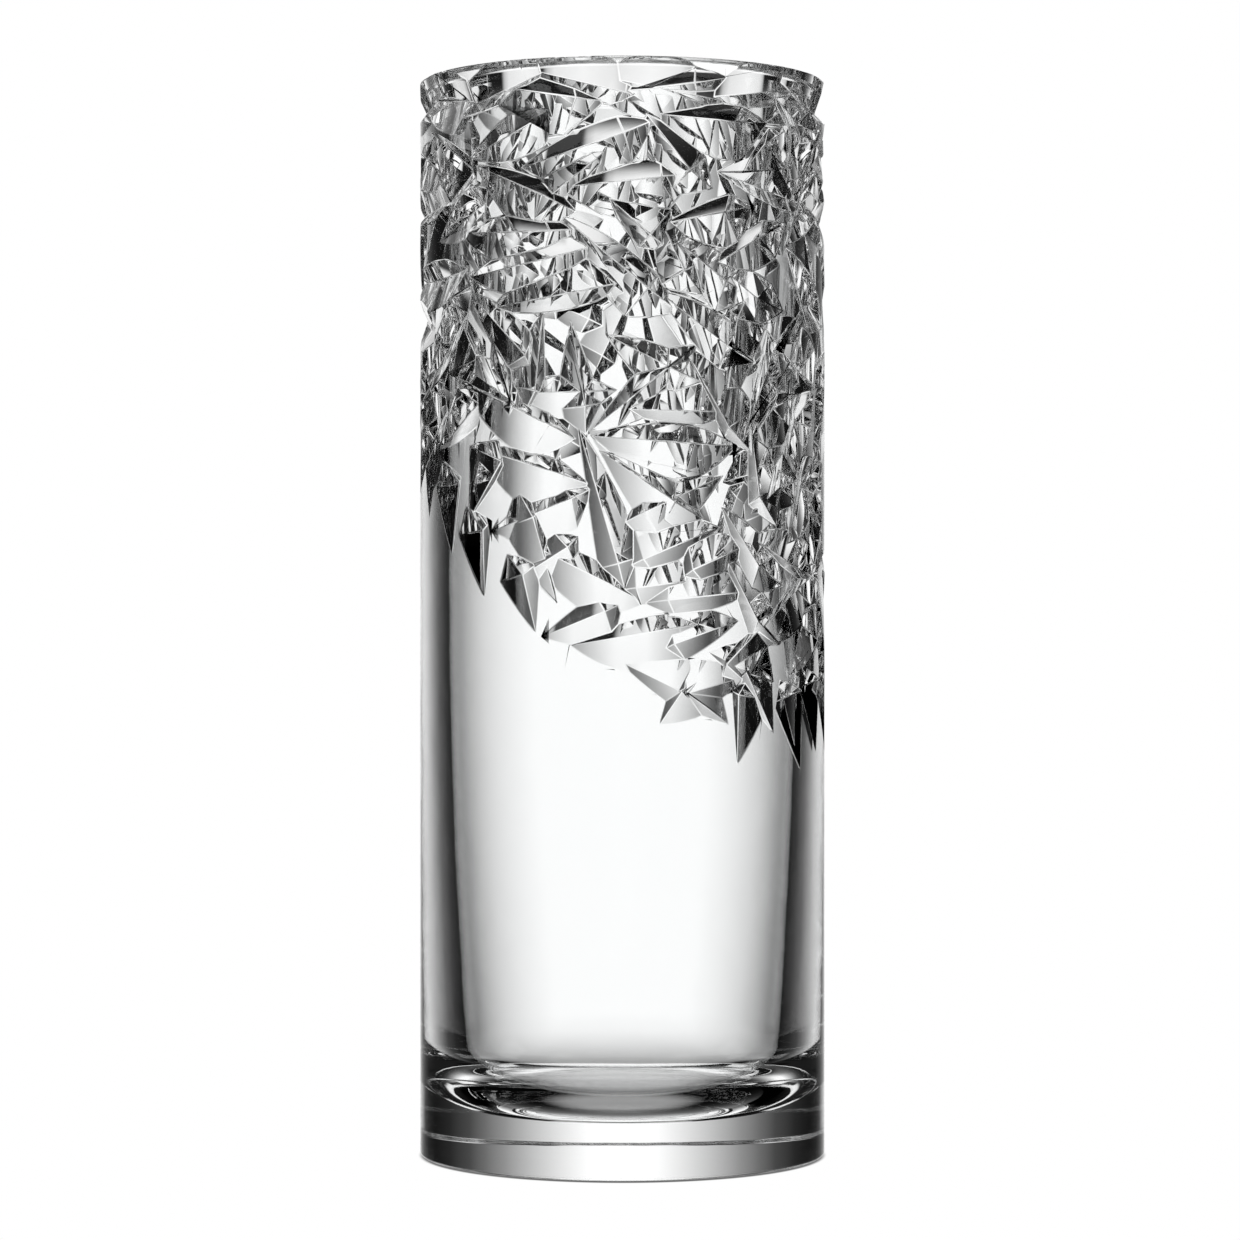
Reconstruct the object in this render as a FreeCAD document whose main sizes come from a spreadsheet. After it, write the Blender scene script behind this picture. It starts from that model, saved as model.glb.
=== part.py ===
# Cut crystal vase: a tall straight cylinder of heavy clear crystal with a thick solid base,
# its upper part covered in crossing V-edged wheel cuts that end in a slanted border of points.
# Frame: +Z up, origin at the centre of the base's underside, front towards -Y. Millimetres.
import FreeCAD
import Part
import Sketcher
import math
import os
import random

os.makedirs("parts", exist_ok=True)
doc = FreeCAD.newDocument("cut_crystal_vase")

# Sizes, each written once.
sizes = doc.addObject("Spreadsheet::Sheet", "Sizes")
named = [
    ("overall_height", 370.0, "base underside to rim"),
    ("outer_radius", 70.0, "outside of the uncut cylinder"),
    ("wall_thickness", 10.0, "glass between the bore and the uncut outside, upper part"),
    ("straight_bore_depth", 170.0, "from the rim down to where the wall starts to thicken"),
    ("wall_swell_radius", 2370.0, "large arc that thickens the wall towards the base"),
    ("inner_corner_radius", 26.0, "arc from the wall into the inner floor"),
    ("floor_height", 15.5, "solid glass under the inner floor"),
    ("base_edge_radius", 1.2, "rounding of the lower outside edge"),
    ("rim_edge_radius", 1.2, "polished rounding of both rim edges"),
    ("cut_depth", 5.6, "deepest point of a full wheel cut"),
    ("cut_half_length", 26.0, "half the length of a full wheel cut"),
    ("flank_angle", 57.0, "mean angle between a cut's flank and straight in"),
    ("cut_overrun", 1.0, "how far a cutter stands clear of the glass"),
    ("border_drop", 178.0, "rim down to the middle height of the cut border"),
    ("border_swing", 56.0, "how far the border rises and falls round the vase"),
    ("border_turn", 50.0, "degrees right of the front where the border is lowest"),
    ("rim_cut_count", 15.0, "cuts in the ring close under the rim"),
    ("back_point_count", 13.0, "pointed border cuts round the back"),
    ("back_fan_count", 10.0, "fans of three cuts round the back"),
    ("fill_count", 66.0, "cuts that cover the rest of the cut zone"),
]
sizes.set("A1", "name")
sizes.set("B1", "value in mm, degrees or a count")
sizes.set("C1", "what it is")
for row, (name, value, meaning) in enumerate(named, start=2):
    sizes.set("A%d" % row, name)
    sizes.set("B%d" % row, str(value))
    sizes.set("C%d" % row, meaning)
    sizes.setAlias("B%d" % row, name)
doc.recompute()


def size(name):
    return float(sizes.get(name))


# The blank: one turned body, from one half section with every size bound to the sheet.
blank = doc.addObject("PartDesign::Body", "blank")
doc.recompute()
section = blank.newObject("Sketcher::SketchObject", "half_section")
upright = [o for o in blank.Origin.OriginFeatures if o.Role == "XZ_Plane"][0]
section.AttachmentSupport = [(upright, "")]
section.MapMode = "FlatFace"

outer = size("outer_radius")
height = size("overall_height")
bore = outer - size("wall_thickness")
swell = size("wall_swell_radius")
corner = size("inner_corner_radius")
floor = size("floor_height")
base_edge = size("base_edge_radius")
rim_edge = size("rim_edge_radius")
bore_end = height - size("straight_bore_depth")
swell_x = bore - swell
corner_z = floor + corner
corner_x = swell_x + math.sqrt((swell - corner) ** 2 - (bore_end - corner_z) ** 2)
join_angle = math.atan2(corner_z - bore_end, corner_x - swell_x)


def point(x, z):
    return FreeCAD.Vector(x, z, 0)


def line(start, end):
    return section.addGeometry(Part.LineSegment(start, end), False)


def arc(centre, radius, first, last):
    circle = Part.Circle(centre, FreeCAD.Vector(0, 0, 1), radius)
    return section.addGeometry(Part.ArcOfCircle(circle, first, last), False)


quarter = math.pi / 2
join = point(corner_x + corner * math.cos(join_angle), corner_z + corner * math.sin(join_angle))
underside = line(point(0, 0), point(outer - base_edge, 0))
foot = arc(point(outer - base_edge, base_edge), base_edge, -quarter, 0)
outside = line(point(outer, base_edge), point(outer, height - rim_edge))
lip_out = arc(point(outer - rim_edge, height - rim_edge), rim_edge, 0, quarter)
lip = line(point(outer - rim_edge, height), point(bore + rim_edge, height))
lip_in = arc(point(bore + rim_edge, height - rim_edge), rim_edge, quarter, 2 * quarter)
bore_wall = line(point(bore, height - rim_edge), point(bore, bore_end))
wall_swell = arc(point(swell_x, bore_end), swell, join_angle, 0)
inner_corner = arc(point(corner_x, corner_z), corner, -quarter, join_angle)
inner_floor = line(point(corner_x, floor), point(0, floor))
middle = line(point(0, floor), point(0, 0))

START = 1
END = 2
CENTRE = 3
ORIGIN = -1
joints = [
    ("Tangent", underside, END, foot, START),
    ("Tangent", foot, END, outside, START),
    ("Tangent", outside, END, lip_out, START),
    ("Tangent", lip_out, END, lip, START),
    ("Tangent", lip, END, lip_in, START),
    ("Tangent", lip_in, END, bore_wall, START),
    ("Tangent", bore_wall, END, wall_swell, END),
    ("Tangent", wall_swell, START, inner_corner, END),
    ("Tangent", inner_corner, START, inner_floor, START),
    ("Coincident", inner_floor, END, middle, START),
    ("Coincident", middle, END, underside, START),
    ("Coincident", underside, START, ORIGIN, 1),
]
for joint in joints:
    section.addConstraint(Sketcher.Constraint(*joint))
section.addConstraint(Sketcher.Constraint("Horizontal", underside))
section.addConstraint(Sketcher.Constraint("Vertical", outside))
section.addConstraint(Sketcher.Constraint("Horizontal", lip))
section.addConstraint(Sketcher.Constraint("Vertical", bore_wall))
section.addConstraint(Sketcher.Constraint("Horizontal", inner_floor))
section.addConstraint(Sketcher.Constraint("Vertical", middle))


def bind(constraint, label, expression):
    index = section.addConstraint(constraint)
    section.renameConstraint(index, label)
    section.setExpression("Constraints." + label, expression)


bind(Sketcher.Constraint("DistanceX", ORIGIN, 1, outside, START, outer), "outside_r", "Sizes.outer_radius")
bind(Sketcher.Constraint("DistanceY", ORIGIN, 1, lip, START, height), "rim_z", "Sizes.overall_height")
bind(Sketcher.Constraint("DistanceX", bore_wall, END, outside, END, outer - bore), "wall",
     "Sizes.wall_thickness")
bind(Sketcher.Constraint("DistanceY", bore_wall, END, lip, START, height - bore_end), "bore_depth",
     "Sizes.straight_bore_depth")
bind(Sketcher.Constraint("DistanceY", middle, END, middle, START, floor), "floor_z", "Sizes.floor_height")
bind(Sketcher.Constraint("Radius", foot, base_edge), "foot_r", "Sizes.base_edge_radius")
bind(Sketcher.Constraint("Radius", lip_out, rim_edge), "lip_out_r", "Sizes.rim_edge_radius")
bind(Sketcher.Constraint("Radius", lip_in, rim_edge), "lip_in_r", "Sizes.rim_edge_radius")
bind(Sketcher.Constraint("Radius", wall_swell, swell), "swell_r", "Sizes.wall_swell_radius")
bind(Sketcher.Constraint("Radius", inner_corner, corner), "corner_r", "Sizes.inner_corner_radius")
doc.recompute()

turned = blank.newObject("PartDesign::Revolution", "turned_blank")
turned.Profile = section
turned.ReferenceAxis = (section, ["V_Axis"])
turned.Angle = 360.0
doc.recompute()

# The wheel cuts. Each is a V groove with a straight keel and a flat flank on either side: the
# keel runs in from its pointed end to full depth, then comes out again more steeply.
# The cuts seen from the front. Each keel starts at its pointed end and runs in to its deep end,
# both as degrees right of the front and millimetres below the rim, and the last number is how
# many degrees the lower flank lies flatter than the mean.
front_cuts = [
    # pointed ends along the slanted border, from high on the left to low on the right
    (-84, 142, -74, 118, 8), (-70, 150, -66, 118, -6), (-55, 163, -60, 132, 6), (-41, 178, -48, 148, 5),
    (-24, 190, -33, 164, 7), (-22, 191, 0, 180, 9), (-14, 194, 26, 186, 11), (33, 233, 38, 203, 6),
    (46, 223, 38, 196, -6), (59, 236, 49, 206, 8), (70, 230, 63, 202, 7), (84, 231, 74, 202, 6),
    (-76, 132, -60, 104, 9), (-62, 128, -44, 108, 8), (-47, 152, -36, 126, -7), (54, 204, 70, 180, 9),
    # the star low on the right, its points outwards
    (-1, 199, 22, 212, -9), (10, 220, 20, 206, 8), (37, 204, 14, 212, 10),
    (30, 220, 16, 206, 8), (33, 186, 10, 196, 11), (38, 176, 6, 180, 10), (46, 184, 28, 206, -9),
    # the long cuts that meet above the border
    (-12, 122, 2, 182, -8), (-30, 158, 6, 180, 8), (-38, 156, -8, 142, 11), (-44, 128, -9, 141, 13),
    (-50, 106, -13, 126, 9), (-54, 98, -27, 119, -10), (27, 155, 0, 169, 11), (24, 172, -2, 176, 9),
    (-6, 130, 22, 152, 12), (28, 138, 0, 154, -8), (-10, 125, 34, 128, 10), (17, 96, 38, 130, -10),
    (-8, 123, 20, 95, 7), (-14, 88, -10, 124, 5), (-22, 84, -28, 118, 8), (28, 148, 50, 174, 9),
    (36, 128, 56, 110, 10), (38, 150, 60, 138, -9), (38, 160, 16, 172, 10), (24, 196, 46, 206, -8),
    (-30, 172, -12, 158, 9), (-18, 180, -30, 142, -8),
    # the middle of the cut zone
    (-46, 71, -6, 62, 9), (-50, 56, -13, 57, 11), (-38, 82, 2, 74, -9), (-17, 52, 15, 84, 9),
    (-8, 42, 13, 64, -10), (12, 58, 38, 78, 9), (7, 46, 22, 78, 8), (24, 66, 50, 82, 10),
    (-58, 74, -46, 106, 6), (-4, 92, 24, 108, 10), (-38, 92, -34, 122, -8),
    # the large pale cuts under the rim
    (-42, 7, -5, 15, 12), (-7, 13, 30, 6, 12), (8, 19, 43, 20, 13), (-46, 31, -18, 15, 11),
    (-28, 36, 9, 21, 13), (-44, 34, -13, 51, 12), (-17, 43, 20, 38, 13), (5, 17, 25, 43, 11),
    (12, 55, 38, 48, 12), (32, 41, 52, 21, 12), (-68, 20, -44, 40, 8), (44, 8, 72, 20, 10),
    (-76, 8, -46, 12, 9), (-62, 58, -40, 42, 9), (52, 60, 74, 38, -8),
]

depth_full = size("cut_depth")
half_full = size("cut_half_length")
flank = size("flank_angle")
overrun = size("cut_overrun")
border_z = height - size("border_drop")
swing = size("border_swing")
lowest = size("border_turn")
dice = random.Random(11)
cuts = []


def border(turn):
    return border_z - swing * math.cos(math.radians(turn - lowest))


def flatter():
    # one flank lies flatter than the mean and reads pale, the other stands steeper and reads dark
    return dice.choice((-1.0, 1.0)) * dice.uniform(5.0, 14.0)


def cut_between(turn_1, z_1, turn_2, z_2, share, tilt):
    run = math.radians(turn_2 - turn_1) * outer
    rise = z_2 - z_1
    cuts.append((0.5 * (turn_1 + turn_2), 0.5 * (z_1 + z_2), math.degrees(math.atan2(rise, run)),
                 0.5 * math.hypot(run, rise), share * depth_full, tilt))


for turn_1, drop_1, turn_2, drop_2, tilt in front_cuts:
    cut_between(turn_1, height - drop_1, turn_2, height - drop_2, 1.0, tilt)

# a ring of long flat-lying cuts right round under the rim, dipping one way and then the other
rim_cuts = int(size("rim_cut_count"))
for i in range(rim_cuts):
    turn = 360.0 * (i + dice.uniform(0.2, 0.8)) / rim_cuts
    lean = (16.0 if i % 2 else -14.0) + dice.uniform(-6.0, 6.0)
    cuts.append((turn, height - dice.uniform(7.5, 10.5), 0.7 * lean, 0.9 * half_full,
                 0.9 * depth_full, -abs(flatter())))

# round the back: pointed ends along the border, and fans of three above them
back_points = int(size("back_point_count"))
for i in range(back_points):
    turn = 96.0 + 172.0 * (i + 0.5) / back_points
    lean = 90.0 + (34.0 if i % 2 else -26.0) + dice.uniform(-12.0, 12.0)
    half_length = half_full * dice.uniform(0.85, 1.05)
    z = border(turn) + half_length * abs(math.sin(math.radians(lean)))
    cuts.append((turn, z, lean, half_length, depth_full * dice.uniform(0.9, 1.05), flatter()))
back_fans = int(size("back_fan_count"))
for i in range(back_fans):
    turn = 92.0 + 176.0 * ((i * 0.618) % 1.0)
    start = height - 24.0 - (height - border(turn) - 60.0) * (i + 0.5) / back_fans
    first = dice.uniform(0.0, 360.0)
    for k in range(3):
        bearing = math.radians(first + 48.0 * k + dice.uniform(-8.0, 8.0))
        reach = 1.8 * half_full * dice.uniform(0.85, 1.05)
        end_turn = turn + math.degrees(reach * math.cos(bearing) / outer)
        end = max(border(end_turn), min(start + reach * math.sin(bearing), height - 6.0))
        cut_between(turn, start, end_turn, end, dice.uniform(0.9, 1.05), flatter())

# what is left uncut: each further cut goes where the ones before it leave the widest gap
fill_cuts = int(size("fill_count"))
for i in range(fill_cuts):
    widest = -1.0
    for trial in range(30):
        turn = dice.uniform(-180.0, 180.0)
        low = border(turn) + 0.6 * half_full
        z = low + (height - 14.0 - low) * dice.random()
        gap = 1e9
        for other in cuts:
            across = math.radians((turn - other[0] + 180.0) % 360.0 - 180.0) * outer
            up = z - other[1]
            lean = math.radians(other[2])
            along = across * math.cos(lean) + up * math.sin(lean)
            beyond = max(0.0, abs(along - 0.2 * other[3]) - 0.55 * other[3])
            gap = min(gap, math.hypot(beyond, up * math.cos(lean) - across * math.sin(lean)))
        if gap > widest:
            widest = gap
            spot = (turn, z)
    room = min(spot[1] - border(spot[0]), height - 4.0 - spot[1])
    half_length = half_full * dice.uniform(0.75, 1.0)
    steepest = math.degrees(math.asin(min(0.97, room / half_length)))
    cuts.append((spot[0], spot[1], dice.uniform(-steepest, steepest), half_length,
                 depth_full * dice.uniform(0.85, 1.0), flatter()))


def cutter(turn, z, lean, half_length, depth, tilt):
    # A solid wedge: two keel lengths, a flank each side of each, a flat top and two ends.
    fall = (half_length * math.cos(math.radians(lean))) ** 2 / (2.0 * outer)
    fall = min(fall, 0.75 * depth)
    tip = -fall + (depth - fall) / 6.0
    keel_line = [
        (-1.25 * half_length, min(tip, 0.7 * overrun)),
        (0.5 * half_length, -depth),
        (1.1 * half_length, min(0.2 * depth - 1.2 * fall, 0.7 * overrun)),
    ]
    keel = []
    right = []
    left = []
    for x, k in keel_line:
        spread = overrun - k
        keel.append(FreeCAD.Vector(x, 0, k))
        right.append(FreeCAD.Vector(x, -spread * math.tan(math.radians(flank + tilt)), overrun))
        left.append(FreeCAD.Vector(x, spread * math.tan(math.radians(flank - tilt)), overrun))
    outlines = [
        [right[0], keel[0], left[0]],
        [right[-1], left[-1], keel[-1]],
        right + left[::-1],
    ]
    for i in range(2):
        outlines.append([keel[i], keel[i + 1], right[i + 1], right[i]])
        outlines.append([keel[i], left[i], left[i + 1], keel[i + 1]])
    faces = [Part.Face(Part.makePolygon(outline + [outline[0]])) for outline in outlines]
    solid = Part.Solid(Part.Shell(faces))
    if solid.Volume < 0:
        solid.reverse()
    place = FreeCAD.Matrix()
    place.rotateZ(math.radians(lean))
    place.rotateX(math.radians(90.0))
    place.rotateZ(math.radians(90.0))
    place.move(FreeCAD.Vector(outer, 0, 0))
    place.rotateZ(math.radians(turn - 90.0))
    place.move(FreeCAD.Vector(0, 0, z))
    return solid.transformGeometry(place)


# The cutters go into rounds whose members stand clear of each other, and each round is taken
# off the blank in turn.
rounds = []
for cut in cuts:
    solid = cutter(*cut)
    for members in rounds:
        if not any(solid.BoundBox.intersect(other.BoundBox) for other in members):
            members.append(solid)
            break
    else:
        rounds.append([solid])

worked = blank
for number, members in enumerate(rounds, start=1):
    wheel = doc.addObject("Part::Feature", "wheel_cuts_%d" % number)
    wheel.Shape = Part.Compound(members)
    step = doc.addObject("Part::Cut", "worked_%d" % number)
    step.Base = worked
    step.Tool = wheel
    step.Refine = False
    step.recompute()
    worked = step
worked.Label = "crystal_vase"

# Checks before anything is written.
for item in doc.Objects:
    bad = [state for state in item.State if state in ("Invalid", "Error")]
    if bad:
        raise RuntimeError("%s is %s" % (item.Name, ", ".join(bad)))
vase = worked.Shape
if vase.isNull() or not vase.isValid() or len(vase.Solids) != 1:
    raise RuntimeError("the vase is not one valid solid")
limits = vase.optimalBoundingBox(False)
beyond = max(limits.XMax - outer, limits.YMax - outer, abs(limits.ZMax - height), abs(limits.ZMin))
if beyond > 0.01:
    raise RuntimeError("the vase stands outside its blank")
vase.exportStep(os.path.join("parts", worked.Label + ".step"))
print("crystal_vase: %d cuts in %d rounds, %d faces, %.0f mm3" % (
    len(cuts), len(rounds), len(vase.Faces), vase.Volume))
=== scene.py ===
import bpy
import bmesh
import math
import random
from mathutils import Matrix, Vector


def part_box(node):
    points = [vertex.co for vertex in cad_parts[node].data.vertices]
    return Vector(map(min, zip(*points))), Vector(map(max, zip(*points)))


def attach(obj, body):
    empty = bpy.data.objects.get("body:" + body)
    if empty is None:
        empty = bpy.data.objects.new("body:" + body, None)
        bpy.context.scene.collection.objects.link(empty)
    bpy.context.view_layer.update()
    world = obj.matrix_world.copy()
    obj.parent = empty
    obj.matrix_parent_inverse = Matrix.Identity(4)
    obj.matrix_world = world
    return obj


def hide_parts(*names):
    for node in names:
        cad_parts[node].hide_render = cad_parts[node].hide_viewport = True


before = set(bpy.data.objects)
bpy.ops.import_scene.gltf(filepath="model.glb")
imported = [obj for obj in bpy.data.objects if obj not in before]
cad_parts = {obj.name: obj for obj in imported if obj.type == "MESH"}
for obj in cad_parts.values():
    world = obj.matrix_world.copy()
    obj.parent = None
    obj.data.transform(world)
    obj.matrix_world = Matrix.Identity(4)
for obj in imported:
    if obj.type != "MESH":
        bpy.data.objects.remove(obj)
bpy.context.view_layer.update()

# ---------------------------------------------------------------------------------------------
# The blank: one heavy gather of clear crystal, blown thick-walled in a straight mould.
# The base is left solid, and the foot and rim are ground flat and polished round at the edges.
# ---------------------------------------------------------------------------------------------
vase_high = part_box("crystal_vase")[1]
mm_in_a_metre = 1000.0
vase_height = vase_high[2] * mm_in_a_metre
outside_radius = vase_high[0] * mm_in_a_metre
wall_thickness = 10.0
straight_bore_depth = 170.0
bore_radius = outside_radius - wall_thickness
bore_end = vase_height - straight_bore_depth
swell_radius = 2370.0
corner_radius = 26.0
floor_height = 15.5
foot_rounding = 1.2
rim_rounding = 1.2
sides_round = 160


def arc_points(centre_r, centre_z, radius, first, last, steps):
    points = []
    for i in range(steps + 1):
        a = math.radians(first + (last - first) * i / steps)
        points.append((centre_r + radius * math.cos(a), centre_z + radius * math.sin(a)))
    return points


def straight_points(start, end, steps):
    return [(start[0] + (end[0] - start[0]) * i / steps, start[1] + (end[1] - start[1]) * i / steps)
            for i in range(1, steps)]


# below the straight bore the wall swells inwards, and the inner corner runs on into the floor
swell_centre = bore_radius - swell_radius
corner_z = floor_height + corner_radius
corner_r = swell_centre + math.sqrt((swell_radius - corner_radius) ** 2 - (bore_end - corner_z) ** 2)
meeting = math.degrees(math.atan2(corner_z - bore_end, corner_r - swell_centre))

foot_r = outside_radius - foot_rounding
rim_outer_r = outside_radius - rim_rounding
rim_inner_r = bore_radius + rim_rounding
rim_z = vase_height - rim_rounding
section = [(0.0, 0.0)]
section += straight_points((0.0, 0.0), (foot_r, 0.0), 8)
section += arc_points(foot_r, foot_rounding, foot_rounding, -90.0, 0.0, 16)
section += straight_points((outside_radius, foot_rounding), (outside_radius, rim_z), 44)
section += arc_points(rim_outer_r, rim_z, rim_rounding, 0.0, 90.0, 14)
section += straight_points((rim_outer_r, vase_height), (rim_inner_r, vase_height), 3)
section += arc_points(rim_inner_r, rim_z, rim_rounding, 90.0, 180.0, 14)
section += straight_points((bore_radius, rim_z), (bore_radius, bore_end), 12)
section += arc_points(swell_centre, bore_end, swell_radius, 0.0, meeting, 24)
section += arc_points(corner_r, corner_z, corner_radius, meeting, -90.0, 22)[1:]
section += straight_points((corner_r, floor_height), (0.0, floor_height), 8)
section += [(0.0, floor_height)]


def turned_solid(name, profile, sides):
    # the section is turned about the vase's axis, and closes to one point where it meets the axis
    vertices = []
    rings = []
    for r, z in profile:
        if r < 1e-6:
            rings.append([len(vertices)])
            vertices.append((0.0, 0.0, z))
        else:
            start = len(vertices)
            for k in range(sides):
                a = 2.0 * math.pi * k / sides
                vertices.append((r * math.cos(a), r * math.sin(a), z))
            rings.append(list(range(start, start + sides)))
    faces = []
    for lower, upper in zip(rings, rings[1:]):
        for k in range(sides):
            m = (k + 1) % sides
            if len(lower) == 1:
                faces.append((lower[0], upper[m], upper[k]))
            elif len(upper) == 1:
                faces.append((lower[k], lower[m], upper[0]))
            else:
                faces.append((lower[k], lower[m], upper[m], upper[k]))
    mesh = bpy.data.meshes.new(name)
    mesh.from_pydata(vertices, [], faces)
    mesh.update()
    return mesh


# ---------------------------------------------------------------------------------------------
# The wheel cuts: V grooves ground with a mitre wheel and polished, crossing at every angle.
# Each keel dips from the surface to full depth and back, so its ends run out in points.
# ---------------------------------------------------------------------------------------------
cut_depth = 5.6
cut_half_length = 26.0
flank_angle = 57.0
cutter_overrun = 1.0
border_height = vase_height - 178.0
border_swing = 56.0
border_lowest = 50.0

# The cuts seen from the front. Each keel starts at its pointed end and runs in to its deep end,
# both as degrees right of the front and millimetres below the rim, and the last number is how
# many degrees the lower flank lies flatter than the mean.
front_cuts = [
    # pointed ends along the slanted border, from high on the left to low on the right
    (-84, 142, -74, 118, 8), (-70, 150, -66, 118, -6), (-55, 163, -60, 132, 6), (-41, 178, -48, 148, 5),
    (-24, 190, -33, 164, 7), (-22, 191, 0, 180, 9), (-14, 194, 26, 186, 11), (33, 233, 38, 203, 6),
    (46, 223, 38, 196, -6), (59, 236, 49, 206, 8), (70, 230, 63, 202, 7), (84, 231, 74, 202, 6),
    (-76, 132, -60, 104, 9), (-62, 128, -44, 108, 8), (-47, 152, -36, 126, -7), (54, 204, 70, 180, 9),
    # the star low on the right, its points outwards
    (-1, 199, 22, 212, -9), (10, 220, 20, 206, 8), (37, 204, 14, 212, 10),
    (30, 220, 16, 206, 8), (33, 186, 10, 196, 11), (38, 176, 6, 180, 10), (46, 184, 28, 206, -9),
    # the long cuts that meet above the border
    (-12, 122, 2, 182, -8), (-30, 158, 6, 180, 8), (-38, 156, -8, 142, 11), (-44, 128, -9, 141, 13),
    (-50, 106, -13, 126, 9), (-54, 98, -27, 119, -10), (27, 155, 0, 169, 11), (24, 172, -2, 176, 9),
    (-6, 130, 22, 152, 12), (28, 138, 0, 154, -8), (-10, 125, 34, 128, 10), (17, 96, 38, 130, -10),
    (-8, 123, 20, 95, 7), (-14, 88, -10, 124, 5), (-22, 84, -28, 118, 8), (28, 148, 50, 174, 9),
    (36, 128, 56, 110, 10), (38, 150, 60, 138, -9), (38, 160, 16, 172, 10), (24, 196, 46, 206, -8),
    (-30, 172, -12, 158, 9), (-18, 180, -30, 142, -8),
    # the middle of the cut zone
    (-46, 71, -6, 62, 9), (-50, 56, -13, 57, 11), (-38, 82, 2, 74, -9), (-17, 52, 15, 84, 9),
    (-8, 42, 13, 64, -10), (12, 58, 38, 78, 9), (7, 46, 22, 78, 8), (24, 66, 50, 82, 10),
    (-58, 74, -46, 106, 6), (-4, 92, 24, 108, 10), (-38, 92, -34, 122, -8),
    # the large pale cuts under the rim
    (-42, 7, -5, 15, 12), (-7, 13, 30, 6, 12), (8, 19, 43, 20, 13), (-46, 31, -18, 15, 11),
    (-28, 36, 9, 21, 13), (-44, 34, -13, 51, 12), (-17, 43, 20, 38, 13), (5, 17, 25, 43, 11),
    (12, 55, 38, 48, 12), (32, 41, 52, 21, 12), (-68, 20, -44, 40, 8), (44, 8, 72, 20, 10),
    (-76, 8, -46, 12, 9), (-62, 58, -40, 42, 9), (52, 60, 74, 38, -8),
]
dice = random.Random(11)
cuts = []


def border(turn):
    return border_height - border_swing * math.cos(math.radians(turn - border_lowest))


def flatter():
    # one flank lies flatter than the mean and reads pale, the other stands steeper and reads dark
    return dice.choice((-1.0, 1.0)) * dice.uniform(5.0, 14.0)


def cut_between(turn_1, height_1, turn_2, height_2, share, tilt):
    run = math.radians(turn_2 - turn_1) * outside_radius
    rise = height_2 - height_1
    cuts.append((0.5 * (turn_1 + turn_2), 0.5 * (height_1 + height_2), math.degrees(math.atan2(rise, run)),
                 0.5 * math.hypot(run, rise), share * cut_depth, tilt))


for turn_1, drop_1, turn_2, drop_2, tilt in front_cuts:
    cut_between(turn_1, vase_height - drop_1, turn_2, vase_height - drop_2, 1.0, tilt)

# a ring of long flat-lying cuts right round under the rim, dipping one way and then the other
rim_cuts = 15
for i in range(rim_cuts):
    turn = 360.0 * (i + dice.uniform(0.2, 0.8)) / rim_cuts
    lean = (16.0 if i % 2 else -14.0) + dice.uniform(-6.0, 6.0)
    cuts.append((turn, vase_height - dice.uniform(7.5, 10.5), 0.7 * lean, 0.9 * cut_half_length,
                 0.9 * cut_depth, -abs(flatter())))

# round the back: pointed ends along the border, and fans of three above them
back_points = 13
back_first = 96.0
back_reach = 172.0
for i in range(back_points):
    turn = back_first + back_reach * (i + 0.5) / back_points
    lean = 90.0 + (34.0 if i % 2 else -26.0) + dice.uniform(-12.0, 12.0)
    half_length = cut_half_length * dice.uniform(0.85, 1.05)
    height = border(turn) + half_length * abs(math.sin(math.radians(lean)))
    cuts.append((turn, height, lean, half_length, cut_depth * dice.uniform(0.9, 1.05), flatter()))
back_fans = 10
for i in range(back_fans):
    turn = 92.0 + 176.0 * ((i * 0.618) % 1.0)
    start = vase_height - 24.0 - (vase_height - border(turn) - 60.0) * (i + 0.5) / back_fans
    first = dice.uniform(0.0, 360.0)
    for k in range(3):
        bearing = math.radians(first + 48.0 * k + dice.uniform(-8.0, 8.0))
        reach = 1.8 * cut_half_length * dice.uniform(0.85, 1.05)
        end_turn = turn + math.degrees(reach * math.cos(bearing) / outside_radius)
        end = max(border(end_turn), min(start + reach * math.sin(bearing), vase_height - 6.0))
        cut_between(turn, start, end_turn, end, dice.uniform(0.9, 1.05), flatter())

# what is left uncut: each further cut goes where the ones before it leave the widest gap
fill_cuts = 66
places_tried = 30
for i in range(fill_cuts):
    widest = -1.0
    for trial in range(places_tried):
        turn = dice.uniform(-180.0, 180.0)
        low = border(turn) + 0.6 * cut_half_length
        height = low + (vase_height - 14.0 - low) * dice.random()
        gap = 1e9
        for other in cuts:
            across = math.radians((turn - other[0] + 180.0) % 360.0 - 180.0) * outside_radius
            up = height - other[1]
            lean = math.radians(other[2])
            along = across * math.cos(lean) + up * math.sin(lean)
            beyond = max(0.0, abs(along - 0.2 * other[3]) - 0.55 * other[3])
            gap = min(gap, math.hypot(beyond, up * math.cos(lean) - across * math.sin(lean)))
        if gap > widest:
            widest = gap
            spot = (turn, height)
    room = min(spot[1] - border(spot[0]), vase_height - 4.0 - spot[1])
    half_length = cut_half_length * dice.uniform(0.75, 1.0)
    steepest = math.degrees(math.asin(min(0.97, room / half_length)))
    cuts.append((spot[0], spot[1], dice.uniform(-steepest, steepest), half_length,
                 cut_depth * dice.uniform(0.85, 1.0), flatter()))


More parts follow.
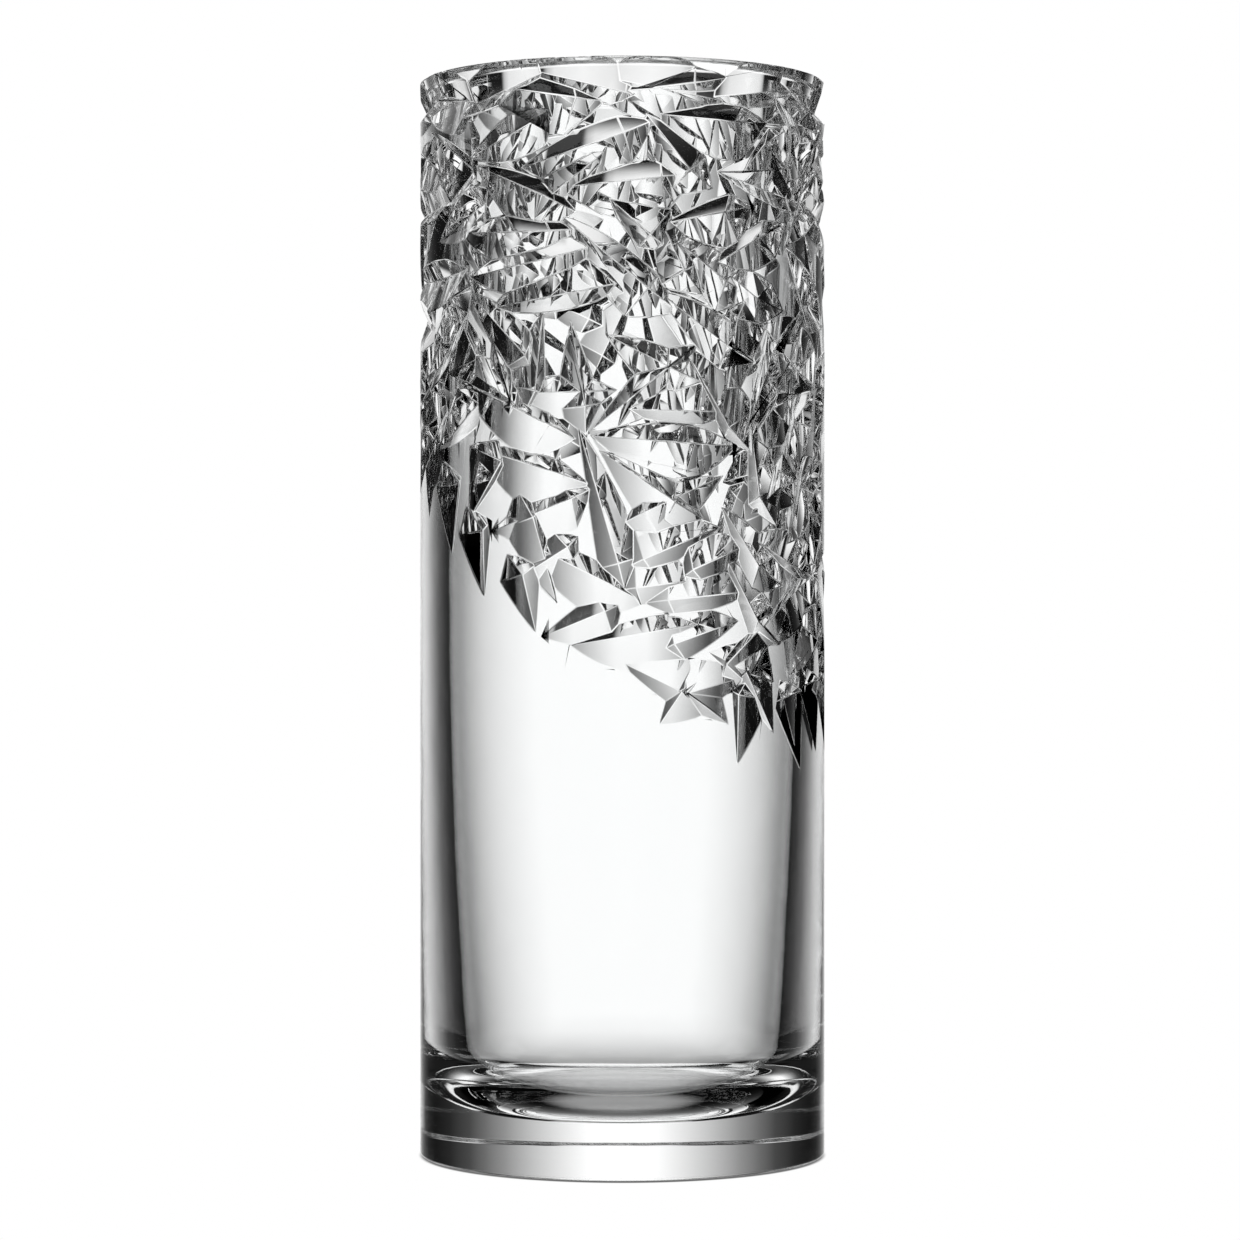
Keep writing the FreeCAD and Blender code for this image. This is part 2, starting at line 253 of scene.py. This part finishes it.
def wheel_cutter(turn, height, lean, half_length, depth, tilt):
    # the keel runs straight in from its pointed end to full depth, then comes out more steeply
    fall = (half_length * math.cos(math.radians(lean))) ** 2 / (2.0 * outside_radius)
    fall = min(fall, 0.75 * depth)
    point = -fall + (depth - fall) / 6.0
    keel_line = [(-1.25 * half_length, min(point, 0.7 * cutter_overrun)), (0.5 * half_length, -depth),
                 (1.1 * half_length, min(0.2 * depth - 1.2 * fall, 0.7 * cutter_overrun))]
    vertices = []
    for x, keel in keel_line:
        spread = cutter_overrun - keel
        vertices.append((x, 0.0, keel))
        vertices.append((x, -spread * math.tan(math.radians(flank_angle + tilt)), cutter_overrun))
        vertices.append((x, spread * math.tan(math.radians(flank_angle - tilt)), cutter_overrun))
    faces = [(0, 1, 2), (6, 8, 7)]
    for k, r, l in ((0, 1, 2), (3, 4, 5)):
        faces += [(k, k + 3, r + 3, r), (k, l, l + 3, k + 3), (r, r + 3, l + 3, l)]
    place = (Matrix.Translation((0.0, 0.0, height))
             @ Matrix.Rotation(math.radians(turn - 90.0), 4, "Z")
             @ Matrix.Translation((outside_radius, 0.0, 0.0))
             @ Matrix.Rotation(math.radians(90.0), 4, "Z")
             @ Matrix.Rotation(math.radians(90.0), 4, "X")
             @ Matrix.Rotation(math.radians(lean), 4, "Z"))
    return [place @ Vector(v) for v in vertices], faces


# cutters that stand clear of each other go into one round, and the rounds are cut in turn
rounds = []
for cut in cuts:
    vertices, faces = wheel_cutter(*cut)
    low = [min(v[i] for v in vertices) for i in range(3)]
    high = [max(v[i] for v in vertices) for i in range(3)]
    for members in rounds:
        if all(any(high[i] < o_low[i] or low[i] > o_high[i] for i in range(3))
               for _, _, o_low, o_high in members):
            members.append((vertices, faces, low, high))
            break
    else:
        rounds.append([(vertices, faces, low, high)])

vase = bpy.data.objects.new("cut_crystal_vase", turned_solid("cut_crystal_vase", section, sides_round))
bpy.context.scene.collection.objects.link(vase)
wheels = bpy.data.objects.new("wheel_round", bpy.data.meshes.new("wheel_round"))
bpy.context.scene.collection.objects.link(wheels)
for members in rounds:
    vertices = []
    faces = []
    for own_vertices, own_faces, _, _ in members:
        start = len(vertices)
        vertices += [tuple(v) for v in own_vertices]
        faces += [tuple(start + i for i in face) for face in own_faces]
    round_mesh = bpy.data.meshes.new("wheel_round")
    round_mesh.from_pydata(vertices, [], faces)
    wheels.data = round_mesh
    cutting = vase.modifiers.new("cutting", "BOOLEAN")
    cutting.operation = "DIFFERENCE"
    cutting.solver = "MANIFOLD"
    cutting.object = wheels
    bpy.context.view_layer.update()
    cut_mesh = bpy.data.meshes.new_from_object(vase.evaluated_get(bpy.context.evaluated_depsgraph_get()))
    vase.modifiers.clear()
    vase.data = cut_mesh
bpy.data.objects.remove(wheels)

# the round wheel leaves every flank slightly hollow, and polishing softens every edge: each patch
# is drawn in from its sharp edges, and the edge is let down onto a narrow strip between patches
hollow_radius = 120.0
soft_width = 0.4
longest_reach = 0.7
furthest_move = 0.6
sharpest_smooth = math.radians(7.0)
still_flat = math.radians(0.5)
facing_out = math.radians(4.0)
nearly_out = math.radians(5.0)
on_the_outside = 0.15
past_the_cuts = 8.0
sliver_area = 0.002
tiny_area = 0.001
same_place = 0.002
worked = bmesh.new()
worked.from_mesh(vase.data)


def uncut(face):
    # a face that is still the blank's own: in the bore, round the foot or rim, or facing straight out
    middle = face.calc_center_median()
    out = Vector((middle.x, middle.y, 0.0))
    if middle.z < foot_rounding or middle.z > rim_z or out.length < outside_radius - past_the_cuts:
        return True
    if out.length < outside_radius - on_the_outside:
        return False
    return face.calc_area() < sliver_area or face.normal.angle(out) < facing_out


facets = {f for f in worked.faces if not uncut(f)}
between = [e for e in worked.edges if len(e.link_faces) == 2 and all(f in facets for f in e.link_faces)]
bmesh.ops.dissolve_limit(worked, angle_limit=still_flat, edges=between,
                         verts=list(dict.fromkeys(v for e in between for v in e.verts)))
facets = {f for f in worked.faces if not uncut(f)}
sharp = [e for e in worked.edges
         if len(e.link_faces) == 2 and any(f in facets for f in e.link_faces)
         and e.calc_face_angle(0.0) > sharpest_smooth
         and min(f.calc_area() for f in e.link_faces) > tiny_area]
bmesh.ops.split_edges(worked, edges=sharp)
worked.normal_update()
inset = bmesh.ops.inset_region(worked, faces=worked.faces, thickness=soft_width,
                               use_boundary=True, use_even_offset=True)
strips = set(inset["faces"])
on_the_edge = {v for v in worked.verts if all(f in strips for f in v.link_faces)}
# in a narrow corner the even strip would reach too far in, so it is held to a short reach
for v in worked.verts:
    if v not in on_the_edge:
        own = [e.other_vert(v) for e in v.link_edges if e.other_vert(v) in on_the_edge]
        if own:
            home = min(own, key=lambda o: (o.co - v.co).length)
            reach = (v.co - home.co).length
            if reach > longest_reach:
                v.co = home.co + (v.co - home.co) * (longest_reach / reach)
# the light is bent as by a hollow flank, and as by a true cylinder where the blank is uncut
patch_normal = {}
for v in worked.verts:
    total = Vector()
    for f in v.link_faces:
        if f not in strips:
            bend = 0.0 if uncut(f) else 1.0 / hollow_radius
            total += (f.normal - (v.co - f.calc_center_median()) * bend) * f.calc_area()
    patch_normal[v] = total.normalized() if total.length > 0 else None
    out = Vector((v.co.x, v.co.y, 0.0))
    between_ends = foot_rounding < v.co.z < vase_height - 1.25 * rim_rounding
    on_cylinder = between_ends and abs(out.length - outside_radius) < on_the_outside
    if patch_normal[v] and on_cylinder and patch_normal[v].angle(out) < nearly_out:
        patch_normal[v] = out.normalized()
# the patches' edges that share a place are let down together, onto the middle of what is near them
outer = [v for v in worked.verts if patch_normal[v] is None]
found = bmesh.ops.find_doubles(worked, verts=outer, dist=same_place)["targetmap"]
groups = {}
for v in outer:
    root = v
    while root in found and found[root] is not root:
        root = found[root]
    groups.setdefault(root, []).append(v)
edge_normal = {}
for members in groups.values():
    beside = [e.other_vert(v) for v in members for e in v.link_edges]
    near = list(dict.fromkeys(o for o in beside if patch_normal[o] is not None))
    if near:
        middle = sum((o.co for o in near), Vector()) / len(near)
        normal = sum((patch_normal[o] for o in near), Vector())
        for v in members:
            if (middle - v.co).length < furthest_move:
                v.co = middle
            edge_normal[v] = normal.normalized() if normal.length > 0 else v.normal.copy()
for v in worked.verts:
    v.co.z = min(v.co.z, vase_height)
corner_normals = []
worked.faces.index_update()
for f in worked.faces:
    for loop in f.loops:
        v = loop.vert
        if patch_normal[v] is not None:
            corner_normals.append(patch_normal[v].copy())
        else:
            corner_normals.append(edge_normal.get(v, f.normal).copy())
worked.to_mesh(vase.data)
worked.free()
vase.data.transform(Matrix.Scale(1.0 / mm_in_a_metre, 4))
for face in vase.data.polygons:
    face.use_smooth = True
    face.material_index = 0
vase.data.normals_split_custom_set(corner_normals)
vase.data.name = "cut_crystal_vase"

crystal = bpy.data.materials.new("polished_crystal")
crystal.use_nodes = True
nodes = crystal.node_tree.nodes
links = crystal.node_tree.links
glass = nodes["Principled BSDF"]
glass.inputs["Base Color"].default_value = (0.99, 0.995, 0.995, 1.0)
glass.inputs["Roughness"].default_value = 0.0
glass.inputs["IOR"].default_value = 1.53
glass.inputs["Transmission Weight"].default_value = 1.0
# hand polishing leaves the surface very faintly wavy
place_on_glass = nodes.new("ShaderNodeTexCoord")
polish = nodes.new("ShaderNodeTexNoise")
polish.inputs["Scale"].default_value = 70.0
polish.inputs["Detail"].default_value = 1.0
waviness = nodes.new("ShaderNodeBump")
waviness.inputs["Strength"].default_value = 1.0
waviness.inputs["Distance"].default_value = 0.00003
links.new(place_on_glass.outputs["Object"], polish.inputs["Vector"])
links.new(polish.outputs["Fac"], waviness.inputs["Height"])
links.new(waviness.outputs["Normal"], glass.inputs["Normal"])
vase.data.materials.clear()
vase.data.materials.append(crystal)
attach(vase, "root")
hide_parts("crystal_vase")

# ---------------------------------------------------------------------------------------------
# The backdrop: a pale panel behind the vase that fades to either side, softer lights higher up
# at the sides, a wide lamp high behind, and the pale table, which dims the steeper one looks down.
# ---------------------------------------------------------------------------------------------
# brightness against degrees left or right of straight behind: level, higher up, and overhead
level_light = [
    (0.0, 1.0), (5.0, 1.0), (10.0, 0.8), (15.0, 0.6), (20.0, 0.42), (25.0, 0.26), (31.0, 0.14),
    (37.0, 0.06), (47.0, 0.02), (58.0, 0.006), (180.0, 0.006),
]
raised_light = [
    (0.0, 0.85), (10.0, 0.75), (13.0, 0.5), (15.0, 0.01), (34.0, 0.01), (37.0, 0.85),
    (72.0, 0.85), (76.0, 0.01), (180.0, 0.01),
]
overhead_light = [(0.0, 1.0), (90.0, 1.0), (108.0, 0.02), (180.0, 0.02)]
# light that goes through the glass without a mirroring meets a pale room past the panel's sides
room_light = [(0.0, 0.0), (72.0, 0.0), (86.0, 0.85), (180.0, 0.85)]
# brightness against degrees below level
table_light = [
    (0.0, 1.0), (10.0, 1.0), (18.0, 0.92), (24.0, 0.79), (29.0, 0.64), (34.0, 0.5), (40.0, 0.42),
    (50.0, 0.34),
]
backdrop_strength = 1.18

studio = bpy.data.worlds.new("studio")
bpy.context.scene.world = studio
studio.use_nodes = True
tree = studio.node_tree
tree.nodes.clear()


def brightness_ramp(amount, full_scale, stops):
    # stops are (reading, brightness), and the amount is the reading over its full scale
    ramp = tree.nodes.new("ShaderNodeValToRGB")
    elements = ramp.color_ramp.elements
    while len(elements) > 1:
        elements.remove(elements[-1])
    for i, (reading, light) in enumerate(stops):
        element = elements[0] if i == 0 else elements.new(reading / full_scale)
        element.position = reading / full_scale
        element.color = (light, light, light, 1.0)
    tree.links.new(amount, ramp.inputs[0])
    return ramp.outputs["Color"]


def between_heights(first, last, first_light=0.0, last_light=1.0):
    # goes smoothly from one brightness to another between two angles above level
    step = tree.nodes.new("ShaderNodeMapRange")
    step.interpolation_type = "SMOOTHSTEP"
    step.inputs["From Min"].default_value = math.sin(math.radians(first))
    step.inputs["From Max"].default_value = math.sin(math.radians(last))
    step.inputs["To Min"].default_value = first_light
    step.inputs["To Max"].default_value = last_light
    tree.links.new(apart.outputs["Z"], step.inputs["Value"])
    return step.outputs["Result"]


def blended(kind, first, second, factor=None):
    mix = tree.nodes.new("ShaderNodeMix")
    mix.data_type = "RGBA"
    mix.blend_type = kind
    mix.inputs["Factor"].default_value = 1.0
    if factor is not None:
        tree.links.new(factor, mix.inputs["Factor"])
    tree.links.new(first, mix.inputs[6])
    tree.links.new(second, mix.inputs[7])
    return mix.outputs[2]


def worked_out(operation, *values):
    node = tree.nodes.new("ShaderNodeMath")
    node.operation = operation
    for i, value in enumerate(values):
        if isinstance(value, float):
            node.inputs[i].default_value = value
        else:
            tree.links.new(value, node.inputs[i])
    return node.outputs[0]


direction = tree.nodes.new("ShaderNodeTexCoord")
apart = tree.nodes.new("ShaderNodeSeparateXYZ")
tree.links.new(direction.outputs["Generated"], apart.inputs[0])
bearing = worked_out("ARCTAN2", apart.outputs["X"], apart.outputs["Y"])
aside = worked_out("DIVIDE", worked_out("ABSOLUTE", bearing), math.pi)
down = worked_out("MULTIPLY", apart.outputs["Z"], -1.0)
half_turn = 180.0
level = brightness_ramp(aside, half_turn, level_light)
raised = brightness_ramp(aside, half_turn, raised_light)
room = brightness_ramp(aside, half_turn, room_light)
overhead = brightness_ramp(aside, half_turn, overhead_light)
table = brightness_ramp(down, 1.0, [(math.sin(math.radians(angle)), light) for angle, light in table_light])
light = blended("MIX", level, raised, between_heights(12.0, 22.0))
seen = tree.nodes.new("ShaderNodeLightPath")
unreflected = worked_out("LESS_THAN", seen.outputs["Glossy Depth"], 0.5)
light = blended("LIGHTEN", light, room, unreflected)
light = blended("MULTIPLY", light, table)
light = blended("LIGHTEN", light, between_heights(-52.0, -75.0, 0.0, 0.8))
light = blended("MULTIPLY", light, between_heights(32.0, 35.0, 1.0, 0.01))
light = blended("LIGHTEN", light, blended("MULTIPLY", between_heights(48.0, 56.0), overhead))
lit = tree.nodes.new("ShaderNodeBackground")
tree.links.new(light, lit.inputs["Color"])
lit.inputs["Strength"].default_value = backdrop_strength
backdrop = tree.nodes.new("ShaderNodeBackground")
backdrop.inputs["Color"].default_value = (1.0, 1.0, 1.0, 1.0)
choose = tree.nodes.new("ShaderNodeMixShader")
tree.links.new(seen.outputs["Is Camera Ray"], choose.inputs[0])
tree.links.new(lit.outputs[0], choose.inputs[1])
tree.links.new(backdrop.outputs[0], choose.inputs[2])
world_out = tree.nodes.new("ShaderNodeOutputWorld")
tree.links.new(choose.outputs[0], world_out.inputs["Surface"])

# ---------------------------------------------------------------------------------------------
# The floor: a plain white table top under the vase. What is seen of it through the glass is the
# table's brightness in the backdrop, and the patch under the base is in shade.
# ---------------------------------------------------------------------------------------------
floor_half = 60.0
floor_z = -0.0005
shade_under_base = 0.35
shade_at_foot = 0.15
foot_edge = vase_high[0]
corners = [(-floor_half, -floor_half, floor_z), (floor_half, -floor_half, floor_z),
           (floor_half, floor_half, floor_z), (-floor_half, floor_half, floor_z)]
floor_mesh = bpy.data.meshes.new("studio_floor")
floor_mesh.from_pydata(corners, [], [(0, 1, 2, 3)])
studio_floor = bpy.data.objects.new("studio_floor", floor_mesh)
bpy.context.scene.collection.objects.link(studio_floor)
paper = bpy.data.materials.new("white_table")
paper.use_nodes = True
tree = paper.node_tree
tree.nodes.clear()
here = tree.nodes.new("ShaderNodeTexCoord")
from_axis = tree.nodes.new("ShaderNodeVectorMath")
from_axis.operation = "LENGTH"
tree.links.new(here.outputs["Object"], from_axis.inputs[0])
shade = tree.nodes.new("ShaderNodeMapRange")
shade.interpolation_type = "SMOOTHSTEP"
shade.inputs["From Min"].default_value = 0.9 * foot_edge
shade.inputs["From Max"].default_value = foot_edge
shade.inputs["To Min"].default_value = shade_under_base
shade.inputs["To Max"].default_value = 1.0
tree.links.new(from_axis.outputs["Value"], shade.inputs["Value"])
passed = tree.nodes.new("ShaderNodeBsdfTransparent")
tree.links.new(shade.outputs["Result"], passed.inputs["Color"])
# a thin line of shade shows on the table where the foot meets it
contact = tree.nodes.new("ShaderNodeMapRange")
contact.interpolation_type = "SMOOTHSTEP"
contact.inputs["From Min"].default_value = 0.98 * foot_edge
contact.inputs["From Max"].default_value = 1.012 * foot_edge
contact.inputs["To Min"].default_value = shade_at_foot
contact.inputs["To Max"].default_value = 1.0
tree.links.new(from_axis.outputs["Value"], contact.inputs["Value"])
plain = tree.nodes.new("ShaderNodeEmission")
tree.links.new(contact.outputs["Result"], plain.inputs["Color"])
seen = tree.nodes.new("ShaderNodeLightPath")
choose = tree.nodes.new("ShaderNodeMixShader")
tree.links.new(seen.outputs["Is Camera Ray"], choose.inputs[0])
tree.links.new(passed.outputs[0], choose.inputs[1])
tree.links.new(plain.outputs[0], choose.inputs[2])
paper_out = tree.nodes.new("ShaderNodeOutputMaterial")
tree.links.new(choose.outputs[0], paper_out.inputs["Surface"])
floor_mesh.materials.append(paper)

# ---------------------------------------------------------------------------------------------
# The camera: level, at half the vase's height, with a long lens.
# ---------------------------------------------------------------------------------------------
lens = bpy.data.cameras.new("studio_camera")
lens.sensor_width = 36.0
lens.lens = 112.0
lens.shift_x = -0.0019
lens.shift_y = -0.0014
lens.clip_end = 200.0
camera = bpy.data.objects.new("studio_camera", lens)
camera.location = (0.0, -1.337, 0.185)
camera.rotation_euler = (math.radians(90.0), 0.0, 0.0)
bpy.context.scene.collection.objects.link(camera)
bpy.context.scene.camera = camera

scene = bpy.context.scene
scene.view_settings.view_transform = "Standard"
scene.view_settings.look = "None"
scene.cycles.max_bounces = 32
scene.cycles.transmission_bounces = 32
scene.cycles.glossy_bounces = 16
scene.cycles.transparent_max_bounces = 16
